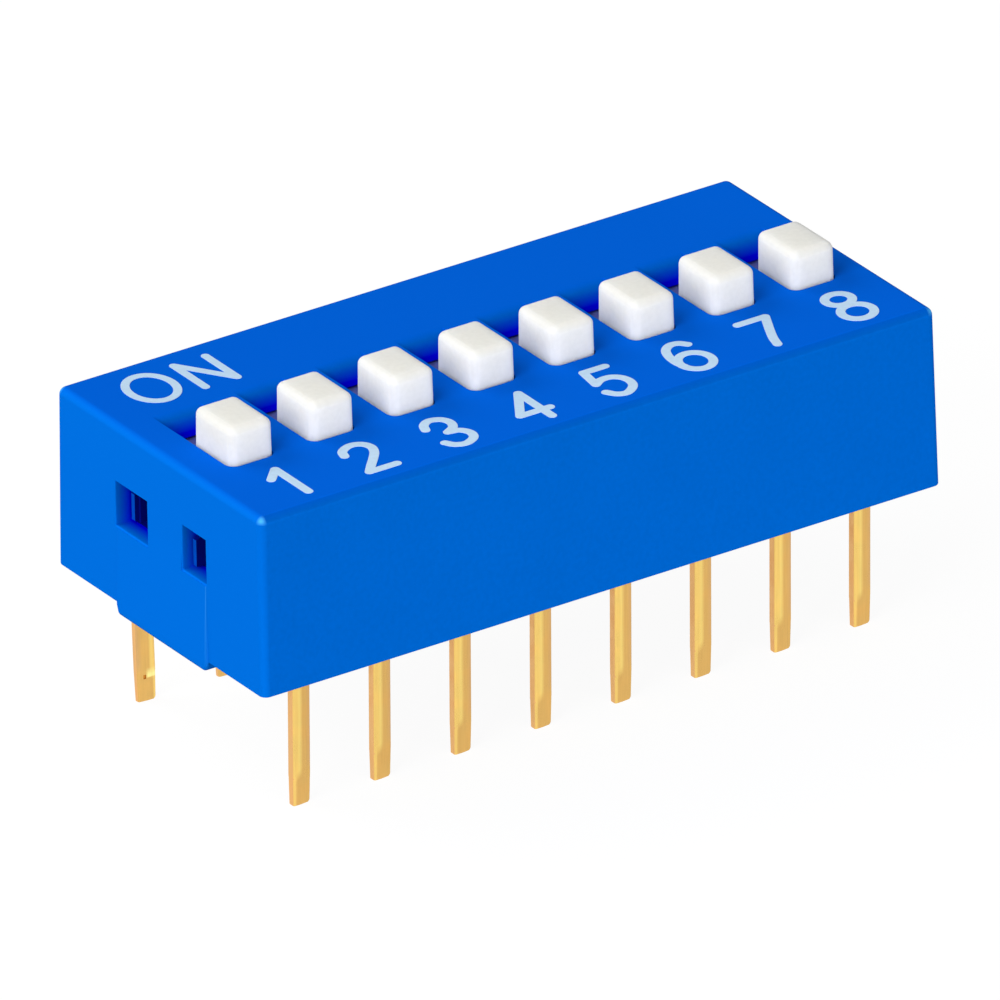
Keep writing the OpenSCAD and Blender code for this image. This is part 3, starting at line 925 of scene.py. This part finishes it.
class SWITCH_OT_base(bpy.types.Operator):
    """Moulds the base with its rail, latch teeth and the seats of the pins"""

    bl_idname = "slide_switch.base"
    bl_label = "Base"

    def body(self, s):
        """The deck and the rail that seats on the board, with rounded edges."""
        x, y = s["length"] / 2, s["width"] / 2
        body = block("base_moulding", (-x, -y, s["foot"]), (x, y, s["top"]))
        pick(body, "EDGE", lambda e: True)
        soften(s["edge"], 3)
        x, y = row_x(COUNT) + s["rail_end"], s["rail_width"] / 2
        rail = block("rail", (-x, -y, 0), (x, y, s["foot"] + 0.1))
        pick(rail, "EDGE", lambda e: min(v.co.z for v in e.verts) < 0.001)
        soften(s["edge"], 3)
        combine(body, rail, "UNION")
        return body

    def tooth(self, s, name, y, low, reach):
        """A latch tooth at one end, flat below and sloped above."""
        x = -s["length"] / 2
        middle = s["top"] - s["tooth"]
        tooth = block(name, (x - reach, y - s["tooth"], low), (x + 0.1, y, middle))
        pick(tooth, "FACE", facing(z=1))
        push(z=s["top"] - middle - 0.01)
        pick(tooth, "EDGE", lambda e: all(
            v.co.z > middle + 0.01 and v.co.x < x - 0.01 for v in e.verts))
        shift(x=reach)
        pick(tooth, "EDGE", lambda e: all(v.co.x < x - 0.01 for v in e.verts))
        soften(0.02, 2)
        close_up(tooth)
        return tooth

    def seat(self, s, pins):
        """The room of one pin in the front row: slit, shoulder and the pad's channel."""
        row = -row_gap() / 2
        outer, inner = row - pins["thickness"] / 2, row + pins["thickness"] / 2
        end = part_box("terminal_1")[1].y / MM
        w, p = pins["width"] / 2, pins["pad_width"] / 2
        seat = block("seat", (-w, outer, -1), (w, inner, pins["shoulder"] + 0.1))
        combine(seat, block("room", (-p, outer, pins["shoulder"]), (p, inner, 5)), "UNION")
        combine(seat, block("way", (-p, outer, s["top"] - pins["pad"]), (p, end, 5)), "UNION")
        return seat

    def execute(self, context):
        s = settings(context.scene.switch_base)
        cover = settings(context.scene.switch_cover)
        base = self.body(s)
        low = cover["window_low"] + s["tooth_gap"]
        wide, narrow = cover["wide_outer"] - s["tooth_gap"], -cover["narrow_inner"] - s["tooth_gap"]
        teeth = join([self.tooth(s, "tooth", wide, low, s["wide_reach"]),
                      self.tooth(s, "tooth_2", narrow, low, s["narrow_reach"])])
        combine(base, both_ends(teeth), "UNION")
        x, free = -s["length"] / 2, s["tooth"] + s["tooth_gap"]
        pockets = join([
            block("pocket", (x - 1, cover["wide_inner"], cover["window_low"]),
                  (x + s["pocket"], wide - free, 5)),
            block("pocket_2", (x - 1, -cover["narrow_outer"], cover["window_low"]),
                  (x + s["pocket"], narrow - free, 5)),
        ])
        combine(base, both_ends(pockets), "DIFFERENCE")
        seat = self.seat(s, settings(context.scene.switch_pins))
        combine(base, both_ends(repeat(seat, map(row_x, POSITIONS))), "DIFFERENCE")
        clear_bench()
        bpy.ops.mesh.primitive_cylinder_add(
            vertices=64, radius=s["mark"], depth=2 * s["mark_depth"],
            location=(row_x(COUNT) / 2, 0, 0),
        )
        mark = bpy.context.object
        bpy.ops.object.transform_apply(location=True)
        pick(mark, "EDGE", lambda e: all(v.co.z > 0.001 for v in e.verts))
        soften(0.03, 2)
        close_up(mark)
        combine(base, both_ends(mark), "DIFFERENCE")
        to_size(base, 35)
        coat(base, "base_plastic", "latch_face")
        # Painted light: the fronts of the latch teeth get the lighter latch finish.
        for face in base.data.polygons:
            if abs(face.normal.x) > 0.9 and abs(face.center.x) / MM > s["length"] / 2 + 0.02:
                face.material_index = 1
        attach(base, HOUSING)
        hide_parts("base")
        return {"FINISHED"}


class SWITCH_OT_sliders(bpy.types.Operator):
    """Moulds one slider with its raised knob, and copies it to every position"""

    bl_idname = "slide_switch.sliders"
    bl_label = "Sliders"

    def keep_edges(self, slider, s, middle):
        """Keeps at each point how far it turns over a rounded edge of the knob, where the finish
        paints shade.
        """
        flat = [size / 2 - s["knob_radius"] - s["knob_lean"]
                for size in (s["knob_width"], s["knob_length"])]
        flat.append(s["knob_length"] / 2 - s["knob_radius"])
        edges = []
        for v in slider.data.vertices:
            a, b, c = turned(v.co - middle, flat, s["knob_radius"])
            edges.append(min(1, 2 * max(a * b, b * c, a * c)) if v.co.z > middle.z else 0)
        keep(slider, "edge", edges)

    def execute(self, context):
        s = settings(context.scene.switch_sliders)
        low, high = (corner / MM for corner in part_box(SWITCHES[0]))
        here = row_x(1)
        top_of_plate = low.z + s["plate"]
        x, y = s["knob_width"] / 2, s["knob_length"] / 2
        knob_y = (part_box("moving_contact_1")[0].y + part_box("moving_contact_1")[1].y) / 2 / MM
        slider = block("slider", (low.x - here, low.y, low.z),
                       (high.x - here, high.y, top_of_plate))
        pick(slider, "EDGE", lambda e: True)
        soften(0.04, 2)
        close_up(slider)
        knob = block("knob", (-x, knob_y - y, top_of_plate - 0.1), (x, knob_y + y, high.z))
        pick(knob, "FACE", facing(z=1))
        spread((0, knob_y, high.z), 1 - s["knob_lean"] / x, 1 - s["knob_lean"] / y)
        pick(knob, "EDGE", lambda e: max(v.co.z for v in e.verts) > high.z - 0.001)
        soften(s["knob_radius"], 7)
        close_up(knob)
        combine(slider, knob, "UNION")
        x, y = s["pocket_width"] / 2, s["pocket_length"] / 2
        pocket = block("pocket", (-x, knob_y - y, low.z - 0.1),
                       (x, knob_y + y, low.z + s["pocket_depth"]))
        combine(slider, pocket, "DIFFERENCE")
        clear_bench()
        bpy.ops.mesh.primitive_cylinder_add(
            vertices=32, radius=s["boss"], depth=s["pocket_depth"] + 0.05,
            location=(0, knob_y, low.z + (s["pocket_depth"] + 0.05) / 2),
        )
        boss = bpy.context.object
        bpy.ops.object.transform_apply(location=True)
        pick(boss, "EDGE", lambda e: all(v.co.z < low.z + 0.001 for v in e.verts))
        soften(0.04, 3)
        close_up(boss)
        combine(slider, boss, "UNION")
        self.keep_edges(slider, s, Vector((0, knob_y, high.z - s["knob_length"] / 2)))
        for i, node in enumerate(SWITCHES, 1):
            piece = to_size(copy_at(slider, f"slider_{i}_moulding", row_x(i)))
            coat(piece, "slider_plastic")
            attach(piece, f"slider_{i}")
            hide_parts(node)
        bpy.data.objects.remove(slider)
        return {"FINISHED"}


class SWITCH_OT_contacts(bpy.types.Operator):
    """Plates the spring strips under the sliders"""

    bl_idname = "slide_switch.contacts"
    bl_label = "Moving contacts"

    def execute(self, context):
        for i in POSITIONS:
            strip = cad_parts[f"moving_contact_{i}"]
            coat(strip, "contact_spring")
        return {"FINISHED"}


class SWITCH_OT_pins(bpy.types.Operator):
    """Stamps one flat pin for each row, and copies it along the row"""

    bl_idname = "slide_switch.pins"
    bl_label = "Pins"

    def blade(self, name, s, low, high, pad_end, outer):
        """One terminal, with its row's centre line at y = 0 and its pad towards +Y."""
        w, t = s["width"] / 2, s["thickness"] / 2
        coin = low + s["tip"]
        lane = s["rolled"] * 0.42
        step, pressed = 0.05, 0.94

        def on_step(v, left, right):
            """Whether a point lies on the step, between two places across the pin."""
            return coin - step - 0.01 < v.co.z < coin + 0.01 and left < v.co.x < right

        pin = block(name, (-w, -t, 0), (-w + lane, t, s["shoulder"]))
        pick(pin, "FACE", facing(x=1))
        push(x=s["rolled"] - lane)
        push(x=s["width"] - s["rolled"])
        spread((w, 0, 0), y=s["thin_edge"] / s["thickness"])
        # The coined tip: a short step, then a long taper to the end.
        pick(pin, "FACE", facing(z=-1))
        push(z=coin)
        push(z=-step)
        spread((0, 0, 0), y=pressed)
        push(z=low - coin + step)
        spread((0, 0, 0), x=s["tip_width"] / s["width"],
               y=s["tip_thickness"] / s["thickness"] / pressed)
        pick(pin, "EDGE", lambda e: all(
            v.co.z < low + 0.001 and v.co.x * outer > w - 0.04 for v in e.verts))
        soften(s["tip_cut"], 1)
        # The pressed area starts on a slant.
        pick(pin, "VERT", lambda v: on_step(v, -w + 0.01, -w + lane + 0.05))
        shift(z=-0.1)
        turn = -w + s["rolled"]
        pick(pin, "VERT", lambda v: on_step(v, turn - 0.03, turn + 0.03))
        shift(z=0.07)
        # Below the board's face the pin leans in towards the other row.
        pick(pin, "VERT", lambda v: v.co.z < -0.5)
        shift(y=s["lean"] * coin / low)
        pick(pin, "VERT", lambda v: v.co.z < coin - 0.3)
        shift(y=s["lean"] * (1 - coin / low))
        # The shoulder and the pad that the moving contact meets.
        pick(pin, "FACE", facing(z=1))
        push(z=high - s["pad"] - s["shoulder"])
        push(z=s["pad"])
        for side in (1, -1):
            pick(pin, "FACE", lambda f: f.normal.x * side > 0.7
                 and f.calc_center_median().z > s["shoulder"])
            push(x=side * (s["pad_width"] - s["width"]) / 2)
        pick(pin, "FACE", lambda f: f.normal.y > 0.7
             and f.calc_center_median().z > high - s["pad"])
        push(y=pad_end - t)
        pick(pin, "VERT", lambda v: v.co.y > pad_end - 0.3)
        spread((0, pad_end, 0), y=0.0)
        pick(pin, "EDGE", lambda e: all(v.co.z < s["shoulder"] + 0.001 for v in e.verts)
             and all(abs(abs(v.co.x) - w) < 0.06 for v in e.verts)
             and abs(e.verts[0].co.z - e.verts[1].co.z) > 0.02
             and e.verts[0].co.x * e.verts[1].co.x > 0)
        soften(s["edge"], 3)
        # The nick that the die leaves on the inner face.
        coin = low + s["tip_inside"]
        face = t + s["lean"] * coin / low
        nick = block("nick", (0.02, face - 0.04, coin - 0.04), (0.1, face + 0.1, coin + 0.08))
        combine(pin, nick, "DIFFERENCE")
        return pin

    def dress(self, pin, s, low, outer):
        """Plates the two flat faces, the sheared edges and the nick."""
        coat(pin, "gold_outer_face", "gold_inner_face", "gold_sheared", "gold_nick")
        keep(pin, "across", [v.co.x * outer for v in pin.data.vertices])
        coin = low + s["tip_inside"]
        deep = s["thickness"] / 2 + s["lean"] * coin / low - 0.005
        for face in pin.data.polygons:
            x, y, z = face.center.x * outer / MM, face.center.y * outer / MM, face.center.z / MM
            # Painted shade: the nick's faces take a darker gold.
            if 0.015 < x < 0.105 and coin - 0.05 < z < coin + 0.09 and 0 < y < deep:
                face.material_index = 3
            elif abs(face.normal.x) > 0.75:
                face.material_index = 2
            elif face.normal.y * outer > 0:
                face.material_index = 1

    def execute(self, context):
        s = settings(context.scene.switch_pins)
        for first, outer in ((1, 1), (COUNT + 1, -1)):
            low, high = (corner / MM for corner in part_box(f"terminal_{first}"))
            row = -outer * row_gap() / 2
            inner = high.y if outer > 0 else low.y
            pin = self.blade("pin", s, low.z, high.z, abs(row - inner), outer)
            for i in range(first, first + COUNT):
                left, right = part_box(f"terminal_{i}")
                x = (left.x + right.x) / 2 / MM
                piece = copy_at(pin, f"pin_{i}", turn=0 if outer > 0 else math.pi)
                to_size(piece, 30)
                self.dress(piece, s, low.z, outer)
                piece.data.transform(Matrix.Translation((x * MM, row * MM, 0)))
                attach(piece, HOUSING)
                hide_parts(f"terminal_{i}")
            bpy.data.objects.remove(pin)
        return {"FINISHED"}


class SWITCH_OT_legend(bpy.types.Operator):
    """Prints the word ON and the numbers on the cover"""

    bl_idname = "slide_switch.legend"
    bl_label = "Legend"

    def centre_line(self, stroke):
        """The points that the pen passes, and whether it ends where it started."""
        if "ring" in stroke:
            x, y, rx, ry = stroke["ring"]
            angles = [2 * math.pi * k / 40 for k in range(40)]
            return [Vector((x + rx * math.cos(a), y + ry * math.sin(a))) for a in angles], True
        if "line" in stroke:
            return [Vector(p) for p in stroke["line"]], False
        knots = [Vector(p) for p in stroke["curve"]]
        padded = [2 * knots[0] - knots[1], *knots, 2 * knots[-1] - knots[-2]]
        points = []
        for a, b, c, d in zip(padded, padded[1:], padded[2:], padded[3:]):
            for k in range(5):
                t = k / 5
                points.append(0.5 * (2 * b + (c - a) * t + (2 * a - 5 * b + 4 * c - d) * t * t
                                     + (3 * b - a - 3 * c + d) * t ** 3))
        return [*points, knots[-1]], False

    def ribbon(self, points, closed, width, ink):
        """One stroke of ink: a strip laid along the line, with round ends."""
        steps = len(points) if closed else len(points) - 1
        clear_bench()
        bpy.ops.mesh.primitive_grid_add(x_subdivisions=steps, y_subdivisions=1, size=1)
        strip = bpy.context.object
        half = width / 2
        count = len(points)
        columns = {}
        for v in strip.data.vertices:
            columns.setdefault(round((v.co.x + 0.5) * steps), []).append(v)
        for k, pair in columns.items():
            here = points[k % count]
            ahead = points[(k + 1) % count] if closed or k < count - 1 else here
            behind = points[(k - 1) % count] if closed or k > 0 else here
            along = (ahead - behind).normalized()
            across = Vector((-along.y, along.x))
            for v in pair:
                spot = here + across * math.copysign(half, v.co.y)
                v.co = (spot.x, spot.y, 0)
        if closed:
            pick(strip, "VERT", lambda v: True)
            bpy.ops.mesh.remove_doubles(threshold=0.001)
        else:
            ends = [points[0], points[-1]]
            pick(strip, "VERT", lambda v: any((v.co.xy - e).length < half + 0.001 for e in ends)
                 and len(v.link_edges) == 2)
            # The ends run on by half the stroke's width and are then rounded.
            mesh = bmesh.from_edit_mesh(strip.data)
            start = (points[1] - points[0]).normalized()
            stop = (points[-1] - points[-2]).normalized()
            for v in mesh.verts:
                if v.select:
                    first = (v.co.xy - ends[0]).length < (v.co.xy - ends[1]).length
                    v.co.xy += -start * half if first else stop * half
            bmesh.update_edit_mesh(strip.data)
            bpy.ops.mesh.bevel(offset=half * 0.98, segments=6, affect="VERTICES",
                               clamp_overlap=False)
        pick(strip, "FACE", lambda f: True)
        push(z=ink)
        pick(strip, "FACE", lambda f: True)
        bpy.ops.mesh.normals_make_consistent(inside=False)
        close_up(strip)
        return strip

    def character(self, name, text, width, ink):
        """One letter or number, from its strokes."""
        strips = [self.ribbon(*self.centre_line(stroke), width, ink) for stroke in STROKES[text]]
        glyph = strips[0]
        for strip in strips[1:]:
            combine(glyph, strip, "UNION", "MANIFOLD")
        glyph.name = glyph.data.name = name
        return glyph

    def place(self, glyph, x, y, z):
        """Lays a character on the cover."""
        glyph.data.transform(Matrix.Translation((x, y, z)))

    def execute(self, context):
        s = settings(context.scene.switch_legend)
        top = context.scene.switch_cover.top / MM - 0.001
        ink = s["ink"]
        word = [self.character("legend_on", "O", s["word_stroke"], ink),
                self.character("letter_n", "N", s["word_stroke"], ink)]
        self.place(word[0], -s["word_letter_o"], s["word_row"], top)
        self.place(word[1], -s["word_letter_n"], s["word_row"], top)
        pieces = [join(word)]
        for i in POSITIONS:
            number = self.character(f"legend_{i}", str(i), s["stroke"], ink)
            self.place(number, row_x(i), -s["number_row"], top)
            pieces.append(number)
        for piece in pieces:
            to_size(piece, 30)
            coat(piece, "legend_ink")
            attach(piece, HOUSING)
        return {"FINISHED"}


class SWITCH_OT_stage(bpy.types.Operator):
    """Sets the floor, the lamps and the camera"""

    bl_idname = "slide_switch.stage"
    bl_label = "Stage"

    def seen_directly(self, nodes, links):
        """One where the camera, a reflection or a refraction looks, and zero for light."""
        path = nodes.new("ShaderNodeLightPath")
        largest = path.outputs["Is Camera Ray"]
        for name in ("Is Glossy Ray", "Is Transmission Ray"):
            node = nodes.new("ShaderNodeMath")
            node.operation = "MAXIMUM"
            links.new(largest, node.inputs[0])
            links.new(path.outputs[name], node.inputs[1])
            largest = node.outputs[0]
        return largest

    def sky(self, strength):
        """Even light from all round, which looks plain white where it is seen."""
        world = bpy.data.worlds.new("studio")
        bpy.context.scene.world = world
        world.use_nodes = True
        nodes, links = world.node_tree.nodes, world.node_tree.links
        light = nodes["Background"]
        light.inputs["Color"].default_value = (1, 1, 1, 1)
        light.inputs["Strength"].default_value = strength
        white = nodes.new("ShaderNodeBackground")
        white.inputs["Color"].default_value = (1, 1, 1, 1)
        white.inputs["Strength"].default_value = 1
        mix = nodes.new("ShaderNodeMixShader")
        links.new(self.seen_directly(nodes, links), mix.inputs[0])
        links.new(light.outputs[0], mix.inputs[1])
        links.new(white.outputs[0], mix.inputs[2])
        links.new(mix.outputs[0], nodes["World Output"].inputs["Surface"])

    def floor(self, width, height):
        """A white floor that keeps the shadow and throws little light back up."""
        clear_bench()
        bpy.ops.mesh.primitive_plane_add(size=width, location=(0, 0, height))
        floor = bpy.context.object
        floor.name = "floor"
        bpy.ops.object.transform_apply(location=True)
        material = bpy.data.materials.new("white_floor")
        material.use_nodes = True
        nodes, links = material.node_tree.nodes, material.node_tree.links
        nodes.remove(nodes["Principled BSDF"])
        matt = nodes.new("ShaderNodeBsdfDiffuse")
        tone = nodes.new("ShaderNodeMapRange")
        tone.inputs["To Min"].default_value = 0.15
        tone.inputs["To Max"].default_value = 0.86
        seen = self.seen_directly(nodes, links)
        links.new(seen, tone.inputs["Value"])
        links.new(tone.outputs["Result"], matt.inputs["Color"])
        glow = nodes.new("ShaderNodeEmission")
        glow.inputs["Color"].default_value = (1, 1, 1, 1)
        glow.inputs["Strength"].default_value = 1.04
        share = nodes.new("ShaderNodeMath")
        share.operation = "MULTIPLY"
        share.inputs[1].default_value = 0.9
        links.new(seen, share.inputs[0])
        mix = nodes.new("ShaderNodeMixShader")
        links.new(share.outputs[0], mix.inputs[0])
        links.new(matt.outputs[0], mix.inputs[1])
        links.new(glow.outputs[0], mix.inputs[2])
        links.new(mix.outputs[0], nodes["Material Output"].inputs["Surface"])
        floor.data.materials.append(material)

    def lamp(self, name, direction, strength, width, height, distance=0.4):
        """A flat lamp that adds a given share of plain daylight on a surface facing it."""
        data = bpy.data.lights.new(name, "AREA")
        data.shape = "RECTANGLE"
        data.size, data.size_y = width, height
        data.energy = strength * math.pi ** 2 * distance ** 2
        lamp = bpy.data.objects.new(name, data)
        bpy.context.scene.collection.objects.link(lamp)
        towards = Vector(direction).normalized()
        lamp.location = towards * distance
        lamp.rotation_euler = towards.to_track_quat("Z", "Y").to_euler()

    def camera(self, s):
        """The camera, turned and rolled about the switch."""
        azimuth, elevation, roll = s.azimuth, s.elevation, s.roll
        back = Vector((math.sin(azimuth) * math.cos(elevation),
                       -math.cos(azimuth) * math.cos(elevation), math.sin(elevation)))
        right = Vector((0, 0, 1)).cross(back).normalized()
        up = back.cross(right)
        side = math.cos(roll) * right + math.sin(roll) * up
        top = math.cos(roll) * up - math.sin(roll) * right
        data = bpy.data.cameras.new("camera")
        data.sensor_width = 36
        data.lens = s.lens
        data.clip_start, data.clip_end = 0.05, 50
        camera = bpy.data.objects.new("camera", data)
        bpy.context.scene.collection.objects.link(camera)
        camera.matrix_world = Matrix.Translation(
            back * s.distance - side * s.aim_right + top * s.aim_up
        ) @ Matrix((side, top, back)).transposed().to_4x4()
        bpy.context.scene.camera = camera

    def execute(self, context):
        s = context.scene.switch_stage
        context.scene.view_settings.view_transform = "Standard"
        self.sky(s.sky)
        self.floor(s.floor, CAD_BOX[0].z)
        self.lamp("key", (-0.88, -0.33, 0.47), s.key, 0.24, 0.24)
        self.lamp("fill", (0.1, -0.99, 0.11), s.fill, 0.4, 0.08)
        self.lamp("back", (-0.45, 0.62, 0.64), s.back, 0.3, 0.3)
        self.camera(s)
        return {"FINISHED"}


class SWITCH_PT_panel(bpy.types.Panel):
    bl_label = "Slide Switch"
    bl_idname = "SWITCH_PT_panel"
    bl_space_type = "VIEW_3D"
    bl_region_type = "UI"
    bl_category = "Slide Switch"

    def draw(self, context):
        column = self.layout.column(align=True)
        for operator in OPERATORS:
            column.operator(operator.bl_idname)


GROUPS = {
    "switch_cover": CoverSizes,
    "switch_base": BaseSizes,
    "switch_sliders": SliderSizes,
    "switch_pins": PinSizes,
    "switch_legend": LegendSizes,
    "switch_finishes": Finishes,
    "switch_stage": StageSettings,
}
OPERATORS = (
    SWITCH_OT_cover,
    SWITCH_OT_base,
    SWITCH_OT_sliders,
    SWITCH_OT_contacts,
    SWITCH_OT_pins,
    SWITCH_OT_legend,
    SWITCH_OT_stage,
)


def register():
    for group in GROUPS.values():
        bpy.utils.register_class(group)
    for name, group in GROUPS.items():
        setattr(bpy.types.Scene, name, PointerProperty(type=group))
    for operator in OPERATORS:
        bpy.utils.register_class(operator)
    bpy.utils.register_class(SWITCH_PT_panel)


def unregister():
    bpy.utils.unregister_class(SWITCH_PT_panel)
    for operator in reversed(OPERATORS):
        bpy.utils.unregister_class(operator)
    for name in GROUPS:
        delattr(bpy.types.Scene, name)
    for group in reversed(GROUPS.values()):
        bpy.utils.unregister_class(group)


def main():
    register()
    for name in ("cover", "base", "sliders", "contacts", "pins", "legend", "stage"):
        getattr(bpy.ops.slide_switch, name)()


if __name__ == "__main__":
    main()
